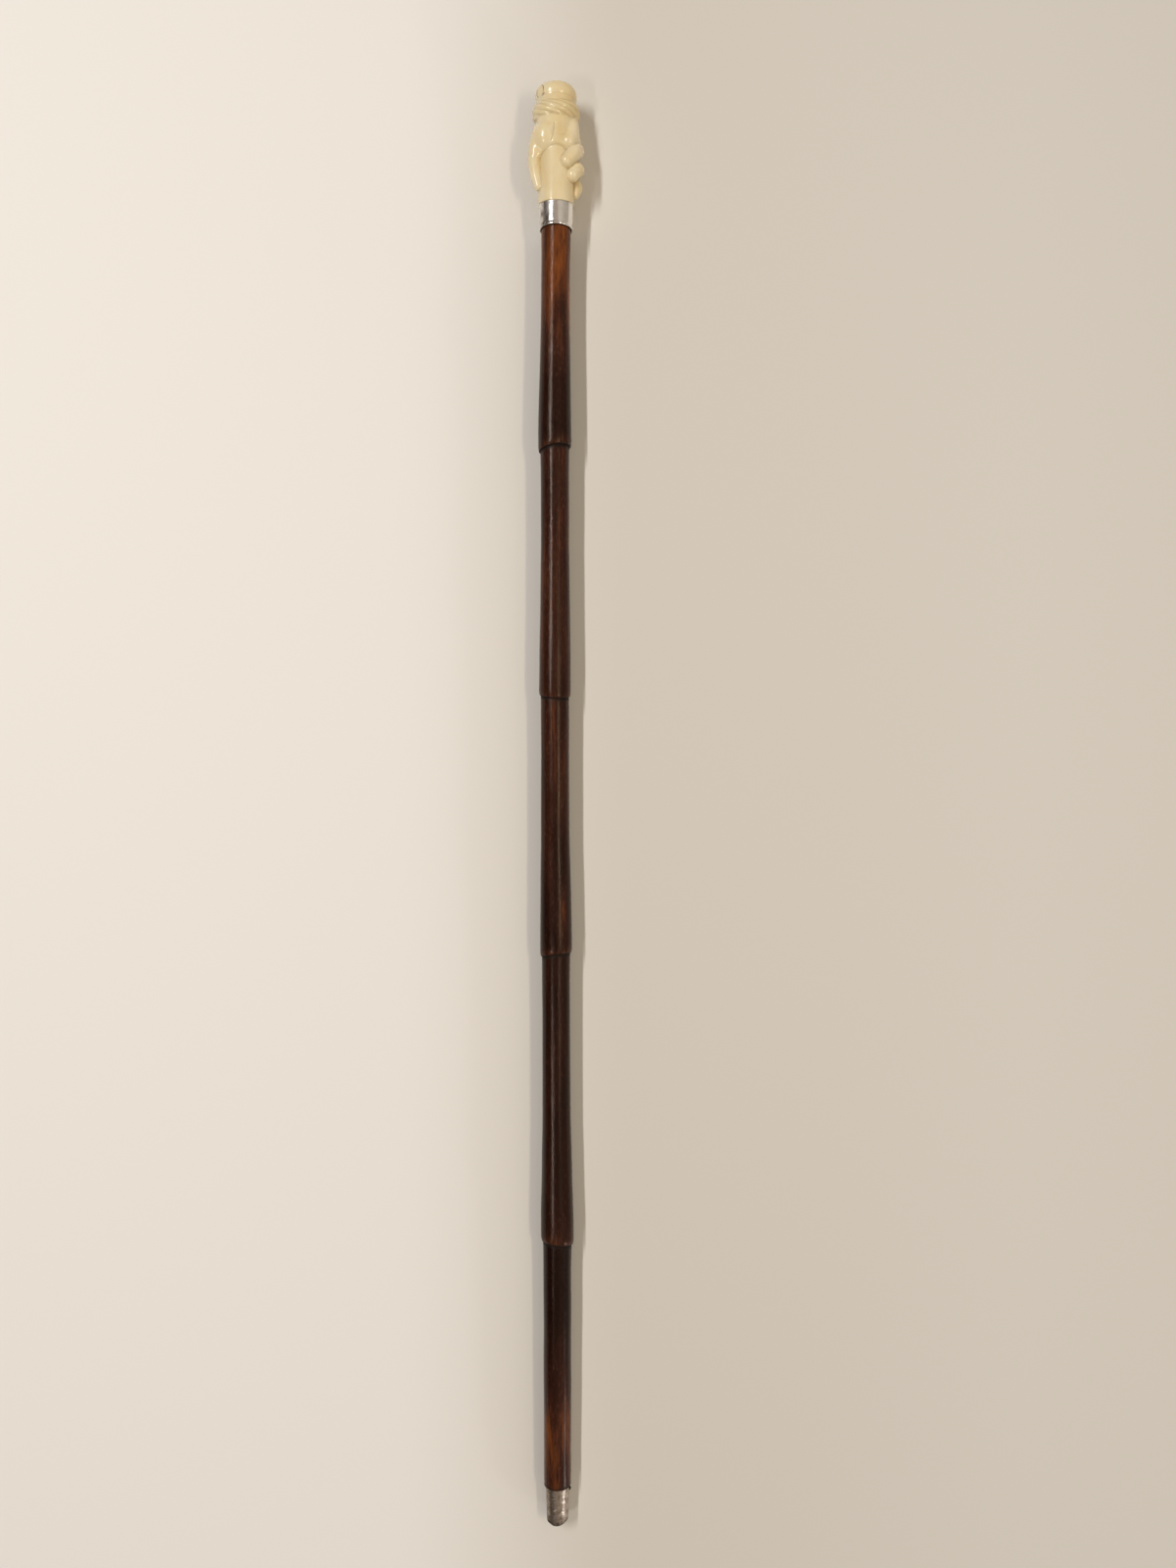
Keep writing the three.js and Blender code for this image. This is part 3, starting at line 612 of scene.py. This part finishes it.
def makeShaft(finish):
    sizes = shaftSizes
    form = turnedForm(shaftOutline(), sizes["sides"])
    nodes = sizes["internodes"][1:]
    for v in form.verts:
        place = v.co.copy()
        bark = math.hypot(place.x, place.z) > 7.5 and sizes["foot"] + 0.5 < place.y < sizes["top"] - 0.5
        if bark:
            v.co = knocked(v.co, sizes["wanderReach"], sizes["wander"], seed=3)
            turn = turnOf(place)
            furrow = noise.noise(Vector((8 * math.cos(turn), place.y / 60, 8 * math.sin(turn))))
            v.co += outwards(place) * furrow * sizes["ridges"]
        for low, *_, leanX, leanZ in nodes:
            near = math.exp(-((place.y - low) / sizes["neckReach"]) ** 2)
            ragged = sizes["ragged"] * noise.noise(Vector((place.x / 4, low, place.z / 4)))
            v.co.y += near * (leanX * place.x + leanZ * place.z + ragged)
    mesh = asMesh(form)
    places = points(mesh)
    height = places[:, 1]
    patchy = 1 + 0.8 * np.array([noise.noise(Vector(place)) for place in places / (7, 45, 7)])
    patchTurn, patchHeight, halfTurn, halfHeight = sizes["brownPatch"]
    aside, above = (turnsOf(places) - patchTurn) / halfTurn, (height - patchHeight) / halfHeight
    patch = np.exp(-aside ** 2 - above ** 2)
    paint(mesh, "redness", np.interp(height, *zip(*shaftRedness)) * patchy + 0.6 * patch)
    fringe, grimeAndShade = np.zeros(len(places)), np.zeros(len(places))
    for (low, *_, leanX, leanZ), share in zip(nodes, sizes["fringes"]):
        above = height - low - leanX * places[:, 0] - leanZ * places[:, 2]
        frayed = np.exp(-(above / (sizes["fringeReach"] * patchy)) ** 2)
        fringe += share * np.where((above > 0.2) & (above < 12), frayed, 0)
        grimeAndShade += np.where(above < 1.3, np.exp(-(above / 0.7) ** 2), 0) * 0.9  # in the crevice
        grimeAndShade += np.where(above < 0, np.exp(above / 1.6), 0) * 0.3  # and on the neck below it
    grimeAndShade += np.exp(-((height - sizes["foot"]) / 1.2) ** 2) * 0.8
    paint(mesh, "fringe", fringe)
    paint(mesh, "grimeAndShade", grimeAndShade)
    placed(mesh, "caneShaft", finish, "shaft")


# Ferrule, its wear plug and nail

ferruleSizes = {
    "foot": 1.3, "length": 22.7, "topDiameter": 15.0, "footDiameter": 13.3, "wall": 0.8,
    "edgeRounding": 0.9, "topEdge": 0.15, "mouth": 5.45,
    "dentSlant": (0.72, 0.69), "dentLength": 2.8, "dentWidth": 0.95, "dentDepth": 0.13,
    "wornTowards": (1.0, -0.1), "wornFrom": 0.7, "wornLift": 0.13, "wornReach": 5.0,
    "plugRadius": 5.2, "plugEdge": 0.5, "plugTop": 5.1,
    "nailHeight": 21.4, "nailRadius": 1.3, "nailStand": 1.1, "nailShank": 0.65, "nailLength": 6.0,
}


def ferruleRadius(height):
    share = (height - ferruleSizes["foot"]) / ferruleSizes["length"]
    return between(ferruleSizes["footDiameter"], ferruleSizes["topDiameter"], share) / 2


# The foot is worn away on one side, where it meets the ground
def wornUp(point):
    sizes = ferruleSizes
    towardsX, towardsZ = sizes["wornTowards"]
    worn = max(towardsX * point.x + towardsZ * point.z + sizes["wornFrom"], 0)
    return point.y + sizes["wornLift"] * worn * math.exp(-(point.y / sizes["wornReach"]) ** 2)


# Puts a point of the skin into the nearest of the slanting hammer dents
def hammered(point):
    sizes = ferruleSizes
    right, up = sizes["dentSlant"]
    along = point.x * right + point.y * up
    across = point.y * right - point.x * up
    length, width = sizes["dentLength"], sizes["dentWidth"]
    near = noise.voronoi(Vector((along / length, across / width, point.z / length)),
                         distance_metric="DISTANCE")[0][0]
    return point - outwards(point) * sizes["dentDepth"] * clamp(1 - 1.5 * near * near)


def makeFerrule(finish):
    sizes = ferruleSizes
    low, top, curve = sizes["foot"], sizes["foot"] + sizes["length"], sizes["edgeRounding"]
    wall, edge = sizes["wall"], sizes["topEdge"]
    outline = [(sizes["mouth"], low + wall), (sizes["mouth"], low)]
    corner = ferruleRadius(low + curve) - curve
    for angle in np.linspace(0, math.pi / 2, 9):  # the edge of the foot is worn round
        outline.append((corner + curve * math.sin(angle), low + curve * (1 - math.cos(angle))))
    outline += [(ferruleRadius(height), height) for height in np.linspace(low + curve, top - edge, 61)[1:]]
    inside = ferruleRadius(top) - wall
    outline += [(ferruleRadius(top) - edge, top), (inside + 0.1, top), (inside, top - 0.1),
                (ferruleRadius(low) - wall, low + wall)]
    form = turnedForm(outline, 150, ring=True)
    for v in form.verts:
        if math.hypot(v.co.x, v.co.z) > ferruleRadius(v.co.y) - wall * 0.6 and v.co.y < top - 0.4:
            v.co = hammered(v.co)
        v.co.y = wornUp(v.co)
    mesh = asMesh(form)
    places = points(mesh)
    # The tarnish spots are real; the darkening at the foot's lower edge and in the dents is painted shade,
    # and the darker left side a painted dark reflection
    spots = np.clip([noise.noise(Vector(place) / 2.5) for place in places], 0, 1)
    footShade = np.exp(-((places[:, 1] - low) / 3.2) ** 2)
    leftDarkReflection = np.clip(-places[:, 0] / 7, 0, 1)
    dentShade = hollows(mesh, 12, 0.05)
    paint(mesh, "grimeAndShade", footShade * 0.75 + leftDarkReflection * 0.25 + dentShade * 0.5 + spots * 0.5)
    placed(mesh, "ferruleTube", finish, "ferrule", softUnder=50)


def makeWearPlug(finish):
    sizes = ferruleSizes
    radius, edge, top = sizes["plugRadius"], sizes["plugEdge"], sizes["plugTop"]
    shoulder = sizes["foot"] + sizes["wall"] + jointSizes["gap"]
    wide = ferruleRadius(shoulder) - sizes["wall"] - jointSizes["gap"]
    outline = [(0, 0), (radius * 0.35, 0), (radius * 0.7, 0)]
    for angle in np.linspace(0, math.pi / 2, 7):
        outline.append((radius - edge + edge * math.sin(angle), edge - edge * math.cos(angle)))
    outline += [(radius, sizes["foot"]), (radius, shoulder), (wide, shoulder), (wide, top), (0, top)]
    form = turnedForm(outline, 72)
    for v in form.verts:
        v.co.y = wornUp(v.co)
        if v.co.y < shoulder:  # rough, but never below the ground
            v.co.y = max(v.co.y + 0.12 * noise.noise(v.co / 1.4), 0.01)
    placed(asMesh(form), "wearPlugFoot", finish, "wear_plug")


def makeNail(finish):
    sizes = ferruleSizes
    head, shank, stand = sizes["nailRadius"], sizes["nailShank"], sizes["nailStand"]
    seat = ferruleRadius(sizes["nailHeight"])
    under = 0.05  # the head stands just off the ferrule
    outline = [(0, -sizes["nailLength"]), (shank, 1 - sizes["nailLength"]), (shank, under)]
    for angle in np.linspace(0, math.pi / 2, 9)[:-1]:
        outline.append((head * math.cos(angle), under + stand * math.sin(angle)))
    form = turnedForm(outline + [(0, under + stand)], 32)
    for v in form.verts:
        v.co += Vector((0, 0.06 * noise.noise(v.co / 0.5), 0))
    bmesh.ops.rotate(form, verts=form.verts, cent=(0, 0, 0), matrix=Matrix.Rotation(-math.pi / 2, 3, "Z"))
    bmesh.ops.translate(form, verts=form.verts, vec=(seat, sizes["nailHeight"], 0))
    placed(asMesh(form), "ferruleNailHead", finish, "ferrule_nail")


# The handle

knobSizes = {
    "cordTop": 888.6, "end": 899.2, "radius": 13.0, "neckRadius": 12.7, "rounding": 6.0,
    "waist": 12.4, "underRounding": 6.5,
    "plugRadius": 3.4, "plugGap": 0.14, "plugThickness": 3.0, "plugTurn": -52, "plugTilt": -3,
    "recessShift": (0.42, -0.12), "recessWider": 0.3,  # the hole is worn wider on the plug's upper right
}

# The cord's foot is measured up from the collar
cordSizes = {
    "foot": 50.0, "height": 12.6, "dip": 2.4, "outer": 14.9, "depth": 4.0, "ridge": 0.75,
    "strands": 9, "crossings": 9,
}

# The carved hand: [turn, up from the collar, out from the axis, radius] along each limb
limbs = {
    "littleFinger": [(142, 47.5, 11.8, 4.4), (114, 44.5, 12, 4.3), (94, 41, 10.2, 4.2)],
    "ringFinger": [(160, 41.5, 12.4, 5), (128, 39.5, 12.7, 5), (92, 34.2, 12.4, 5.2),
                   (70, 31.3, 12.5, 5), (54, 27.6, 12.2, 4.5), (38, 23.6, 11, 4)],
    "middleFinger": [(177, 34.5, 12, 5), (140, 30, 12.6, 4.9), (97, 22.9, 13.1, 4.8),
                     (74, 20.2, 12.9, 4.6), (60, 16, 12.2, 4.1)],
    "indexFinger": [(196, 28.5, 12.2, 5), (155, 22.4, 12.8, 4.8), (122, 16.4, 12.8, 4.6),
                    (105, 11.8, 12.8, 4.2), (95, 7.4, 11.8, 2.9)],
    "thumb": [(-64, 43, 9.6, 3.8), (-73, 35, 12.4, 4.2), (-77, 28.4, 13.6, 4.1), (-75, 21, 13.4, 3.9),
              (-71, 14.4, 12.5, 3.4), (-68, 10, 11.7, 2.7)],
}
# Limbs whose forms run softly into the wrist
softLimbs = {
    "thumbRoot": [(-58, 45, 9.6, 5), (-70, 37.5, 12, 5.2), (-76, 29, 13.2, 4.6)],
    "littleRoot": [(112, 44.5, 11.6, 4.8), (92, 39, 10.6, 5.4), (74, 36, 10.6, 5.2)],
    "heel": [(82, 54, 7.8, 5.6), (72, 46.5, 9.3, 5.8), (59, 40.2, 10.5, 5.5), (48, 36, 10.9, 4.9)],
    "indexBone": [(206, 53, 9, 4.6), (200, 40, 11.3, 4.4), (196, 29.5, 12.2, 5)],
    "middleBone": [(186, 54, 9.4, 4.6), (182, 44, 11.4, 4.2), (177, 35.5, 12.1, 5)],
    "ringBone": [(168, 55, 9.4, 4.4), (165, 48, 11.3, 4.2), (160, 42, 12.2, 4.8)],
    "littleBone": [(148, 56, 9.4, 4.2), (145, 52, 10.9, 4.1), (142, 48, 11.6, 4.4)],
}
# [turn, up, out] of the middle of each pad, then half its size across, along and outwards
pads = {
    "thumbPad": ((-55, 40.2, 7), (9.6, 10.6, 9.4)),
    "thumbPadTop": ((-42, 49, 4.8), (9.4, 11, 8.4)),
    "handBack": ((190, 40, 6), (13, 15, 10.6)),
}
# Lines cut into the hand: points of (turn, up), then width and depth
cuts = {
    "palmCrease": ([(-3, 45.5), (-4.6, 41), (-7.5, 37.2), (-13, 34.4)], 0.5, 0.3),
    "heelFold": ([(47, 41), (49, 38), (47, 35.5)], 0.8, 0.10),
    "fingerFold": ([(53, 20.8), (58, 19.8), (63, 20.2)], 0.5, 0.22),
}
handSizes = {
    "voxel": 0.36, "softVoxel": 0.55, "softRounds": 44, "crispRounds": 3, "palmRadius": 12,
    "archFoot": 32.9, "archDrop": 0.058, "rodRadius": 11.1, "rodThins": 0.75,
}


# A limb swept along its stops, with a ball at each end
def limbForms(stops):
    curve = bpy.data.curves.new("limb", "CURVE")
    curve.dimensions = "3D"
    curve.bevel_depth = 1.0
    curve.bevel_resolution = 8
    curve.resolution_u = 16
    curve.use_fill_caps = True
    spline = curve.splines.new("BEZIER")
    spline.radius_interpolation = "CARDINAL"
    spline.bezier_points.add(len(stops) - 1)
    for point, (turn, up, out, radius) in zip(spline.bezier_points, stops):
        point.co = around(turn, jointSizes["collarTop"] + up, out)
        point.radius = radius
        point.handle_left_type = point.handle_right_type = "AUTO"
    carrier = bpy.data.objects.new("limb", curve)
    scene.collection.objects.link(carrier)
    graph = bpy.context.evaluated_depsgraph_get()
    made = bpy.data.meshes.new_from_object(carrier.evaluated_get(graph))
    bpy.data.objects.remove(carrier)
    bpy.data.curves.remove(curve)
    balls = bmesh.new()
    for turn, up, out, radius in (stops[0], stops[-1]):
        place = Matrix.Translation(around(turn, jointSizes["collarTop"] + up, out))
        bmesh.ops.create_icosphere(balls, subdivisions=4, radius=radius, matrix=place)
    return [made, asMesh(balls)]


def padForm(middle, half):
    turn, up, out = middle
    ball = bmesh.new()
    facing = Matrix.Rotation(math.radians(turn), 3, "Y").to_quaternion()
    place = Matrix.LocRotScale(around(turn, jointSizes["collarTop"] + up, out), facing, Vector(half))
    bmesh.ops.create_icosphere(ball, subdivisions=5, radius=1, matrix=place)
    return asMesh(ball)


def wristForm():
    top, radius = jointSizes["collarTop"], handSizes["palmRadius"]
    foot = top + handSizes["archFoot"]
    neck, end = knobSizes["neckRadius"], knobSizes["cordTop"]
    outline = [(0, foot), (radius - 1.6, foot), (radius, foot + 1.2)]
    for i in range(1, 13):
        outline.append((between(radius, neck, i / 12), between(foot + 1.2, end, i / 12)))
    form = turnedForm(outline + [(0, end)], 96)
    for v in form.verts:
        if v.co.z > 0:  # the heel of the palm arches over the rod
            fade = 1 - smoothStep(v.co.y, foot + 1.5, foot + 9)
            v.co.y -= handSizes["archDrop"] * v.co.x ** 2 * fade
    return asMesh(form)


# Wrist, palm and the back of the hand, run into each other
def softHand():
    forms = [wristForm()] + [padForm(*pad) for pad in pads.values()]
    for stops in softLimbs.values():
        forms += limbForms(stops)
    return reshaped(joined(forms), ("REMESH", {"mode": "VOXEL", "voxel_size": handSizes["softVoxel"]}),
                    ("SMOOTH", {"factor": 0.5, "iterations": handSizes["softRounds"]}))


# The gripped rod, the core of the wrist and the knob, turned as one
def rodAndKnob():
    gap, top = jointSizes["gap"], jointSizes["collarTop"]
    low = jointSizes["spigotTop"] + gap
    rod, knob = handSizes["rodRadius"], knobSizes
    outline = [(0, low), (collarInside(low) - gap, low), (collarInside(top) - gap, top + gap),
               (rod - 0.15, top + gap), (rod, top + gap + 0.3)]
    for share in np.linspace(0, 1, 25):  # the rod thins slightly towards the palm
        outline.append((rod - handSizes["rodThins"] * smoothStep(share, 0.08, 0.95),
                        between(top + 1, top + 33, share)))
    outline += [(knob["waist"], top + 40), (knob["waist"], knob["cordTop"] - 1)]
    widest, under = knob["end"] - knob["rounding"], knob["underRounding"]
    for angle in np.radians(np.linspace(-26, 0, 10)[:-1]):  # it rounds in again over the cord
        outline.append((knob["radius"] - under * (1 - math.cos(angle)),
                        widest - 0.6 + under * math.sin(angle)))
    for angle in np.linspace(0, math.pi / 2, 17):
        outline.append((knob["radius"] - knob["rounding"] * (1 - math.cos(angle)),
                        knob["end"] - knob["rounding"] * (1 - math.sin(angle))))
    form = turnedForm(outline + [(0, knob["end"])], 128)
    for v in form.verts:
        v.co.y = leaned(v.co)
    return asMesh(form)


# A ring of oval section whose rounded strands wind along it
def twistedCord():
    cord = cordSizes
    ring = bmesh.new()
    made = bmesh.ops.create_circle(ring, segments=96, radius=0.5)
    bmesh.ops.translate(ring, verts=made["verts"], vec=(1, 0, 0))
    bmesh.ops.spin(ring, geom=ring.verts[:] + ring.edges[:], cent=(0, 0, 0), axis=(0, 1, 0),
                   angle=math.tau, steps=288, use_merge=True)
    bmesh.ops.remove_doubles(ring, verts=ring.verts, dist=1e-5)
    middle = cord["outer"] - cord["depth"] - cord["ridge"]
    foot = jointSizes["collarTop"] + cord["foot"]
    for v in ring.verts:
        turn = turnOf(v.co)
        roll = math.atan2(v.co.y, math.hypot(v.co.x, v.co.z) - 1)
        lay = cord["strands"] * roll + cord["crossings"] * (turn + 0.12 * math.sin(2 * turn + 1))
        swell = cord["ridge"] * abs(math.cos(lay / 2)) ** 0.8
        height = cord["height"] - cord["dip"] * max(0, math.cos(turn)) ** 2
        out = middle + (cord["depth"] + swell) * math.cos(roll)
        up = height / 2 + (height / 2 - cord["ridge"] + swell) * math.sin(roll)
        v.co = Vector((out * math.sin(turn), foot + up, out * math.cos(turn)))
    bmesh.ops.recalc_face_normals(ring, faces=ring.faces)
    return asMesh(ring)


# Where the knob's plug sits: its axis runs out through the knob's shoulder
def plugFrame():
    sizes = knobSizes
    shoulder = sizes["radius"] - sizes["rounding"]
    tilt, turn = math.radians(sizes["plugTilt"]), math.radians(sizes["plugTurn"])
    pivot = sizes["end"] - sizes["rounding"] - shoulder * math.tan(tilt)
    face = shoulder / math.cos(tilt) + sizes["rounding"]
    facing = Matrix.Rotation(turn, 4, "Y") @ Matrix.Rotation(math.pi / 2 - tilt, 4, "X")
    return Matrix.Translation((0, pivot, 0)) @ facing, face


# The bore for the stud, and the recess for the knob's plug
def handleCutter():
    cutter = bmesh.new()
    sizes = jointSizes
    depth = sizes["studInHandle"] + sizes["boreDeeper"] + sizes["gap"]
    flat = Matrix.Rotation(-math.pi / 2, 4, "X")
    bore = sizes["studBore"]
    bmesh.ops.create_cone(cutter, cap_ends=True, segments=48, radius1=bore, radius2=bore, depth=depth * 2,
                          matrix=Matrix.Translation((0, sizes["spigotTop"], 0)) @ flat)
    place, face = plugFrame()
    radius = knobSizes["plugRadius"] + knobSizes["plugGap"]
    low = face - knobSizes["plugThickness"] - 0.2
    bmesh.ops.create_cone(cutter, cap_ends=True, segments=64, radius1=radius, radius2=radius, depth=12,
                          matrix=place @ Matrix.Translation((0, low + 6, 0)) @ flat)
    shiftX, shiftZ = knobSizes["recessShift"]
    wider = radius + knobSizes["recessWider"]
    bmesh.ops.create_cone(cutter, cap_ends=True, segments=64, radius1=radius, radius2=wider, depth=3,
                          matrix=place @ Matrix.Translation((shiftX, face + 0.3, shiftZ)) @ flat)
    bmesh.ops.recalc_face_normals(cutter, faces=cutter.faces)
    made = bpy.data.objects.new("cutter", asMesh(cutter))
    scene.collection.objects.link(made)
    return made


# Distance of each place from a polyline
def distanceToPath(places, path):
    nearest = np.full(len(places), 1e9)
    for start, end in zip(path, path[1:]):
        start, run = np.array(start), np.array(end) - np.array(start)
        share = np.clip(((places - start) @ run) / (run @ run), 0, 1)
        nearest = np.minimum(nearest, np.linalg.norm(places - start - share[:, None] * run, axis=1))
    return nearest


# Cuts a soft line into the hand along points of (turn, up)
def carve(mesh, path, width, depth):
    places, facing = points(mesh), points(mesh, "normal")
    perDegree = math.radians(handSizes["palmRadius"])
    unrolled = np.stack([turnsOf(places) * perDegree, places[:, 1]], axis=1)
    line = [(turn * perDegree, jointSizes["collarTop"] + up) for turn, up in path]
    near = np.exp(-(distanceToPath(unrolled, line) / width) ** 2)
    setPoints(mesh, places - facing * (depth * near)[:, None])


# Dirt down in the seam round the knob's plug, most on its right
def seamDirt(places):
    place, face = plugFrame()
    turned = np.array(place.inverted())
    local = places @ turned[:3, :3].T + turned[:3, 3]
    out = np.hypot(local[:, 0], local[:, 2])
    radius, shift, rounding = knobSizes["plugRadius"], knobSizes["recessShift"], knobSizes["rounding"]
    towards = (local[:, 0] * shift[0] + local[:, 2] * shift[1]) / (np.maximum(out, 0.1) * math.hypot(*shift))
    rise = np.clip((places[:, 1] - knobSizes["end"] + rounding) / rounding, 0, 1)
    surface = knobSizes["radius"] - rounding * (1 - np.sqrt(1 - rise ** 2))
    under = np.hypot(places[:, 0], places[:, 2]) < surface - 0.3
    inSeam = under & (out > radius - 0.25) & (out < radius + 1.45) & (local[:, 1] > face - 4)
    return inSeam * np.clip(1.1 * towards, 0.06, 0.85)


# The hollow of the palm has yellowed; the cord is painted yellower too, most on its right
def palmStain(places):
    height, turns = places[:, 1] - jointSizes["collarTop"], turnsOf(places)
    hollow = np.exp(-((turns - 14) / 17) ** 2 - ((height - 41) / 8) ** 2)
    cord = np.exp(-((height - 56) / 7) ** 4) * (0.2 + 0.2 * np.exp(-((turns - 62) / 34) ** 2))
    return 0.42 * hollow + cord


def makeHandle(finish):
    forms = [softHand(), rodAndKnob(), twistedCord()]
    for stops in limbs.values():
        forms += limbForms(stops)
    whole = reshaped(joined(forms), ("REMESH", {"mode": "VOXEL", "voxel_size": handSizes["voxel"]}),
                     ("SMOOTH", {"factor": 0.5, "iterations": handSizes["crispRounds"]}))
    for path, width, depth in cuts.values():
        carve(whole, path, width, depth)
    cutter = handleCutter()
    whole = reshaped(whole, ("BOOLEAN", {"object": cutter, "operation": "DIFFERENCE", "solver": "EXACT",
                                        "use_self": True}))
    bpy.data.objects.remove(cutter)
    # Painted shade: the deep creases and broad hollows are darkened, over the dirt that lies in them; the
    # plug's seam holds dirt
    deep, broad = hollows(whole, 8, 0.10), hollows(whole, 50, 0.9)
    paint(whole, "grimeAndShade", deep * 0.35 + broad * 0.10 + seamDirt(points(whole)))
    # The broad hollows are warmed to yellow as painted shade, on top of the real yellowing of the palm and
    # cord
    paint(whole, "stainAndShade", broad * 0.6 + palmStain(points(whole)))
    placed(whole, "handHandle", finish, "hand_handle", softUnder=60)


def makeKnobPlug(finish):
    sizes = knobSizes
    place, face = plugFrame()
    radius, low = sizes["plugRadius"], face - sizes["plugThickness"]
    outline = [(0, low), (radius, low), (radius, face - 1.0)]
    for share in np.linspace(0, 1, 9):  # its face is slightly domed
        outline.append((radius * (1 - share) ** 0.9, face - 0.85 + 0.8 * math.sin(share * math.pi / 2)))
    form = turnedForm(outline, 64)
    bmesh.ops.transform(form, verts=form.verts, matrix=place)
    mesh = asMesh(form)
    paint(mesh, "grimeAndShade", seamDirt(points(mesh)))
    paint(mesh, "stainAndShade", np.full(len(mesh.vertices), 0.15))
    placed(mesh, "knobPlugButton", finish, "knob_plug")


def layFloor():
    form = bmesh.new()
    bmesh.ops.create_grid(form, x_segments=1, y_segments=1, size=floorPaintedShade["size"] / 2)
    floor = bpy.data.objects.new("floor", asMesh(form, "floor"))
    floor.data.materials.append(floorFinish())
    scene.collection.objects.link(floor)


placeCamera()
hangLamps()
lightRoom()
layFloor()
print("camera, lamps and floor are in place")

ivory, silver, nickel = ivoryFinish(), silverFinish(), nickelFinish()
steel, pitch, darkCane = steelFinish(), pitchFinish(), caneFinish()
makeHandle(ivory)
makeKnobPlug(ivory)
makeCollar(silver)
makePacking(pitch)
makeShaft(darkCane)
makeFerrule(nickel)
makeWearPlug(steel)
makeNail(steel)
stud = frame["nodes"]["joining_stud"]
stud.data.materials.clear()
stud.data.materials.append(steel)
print("every piece is made")
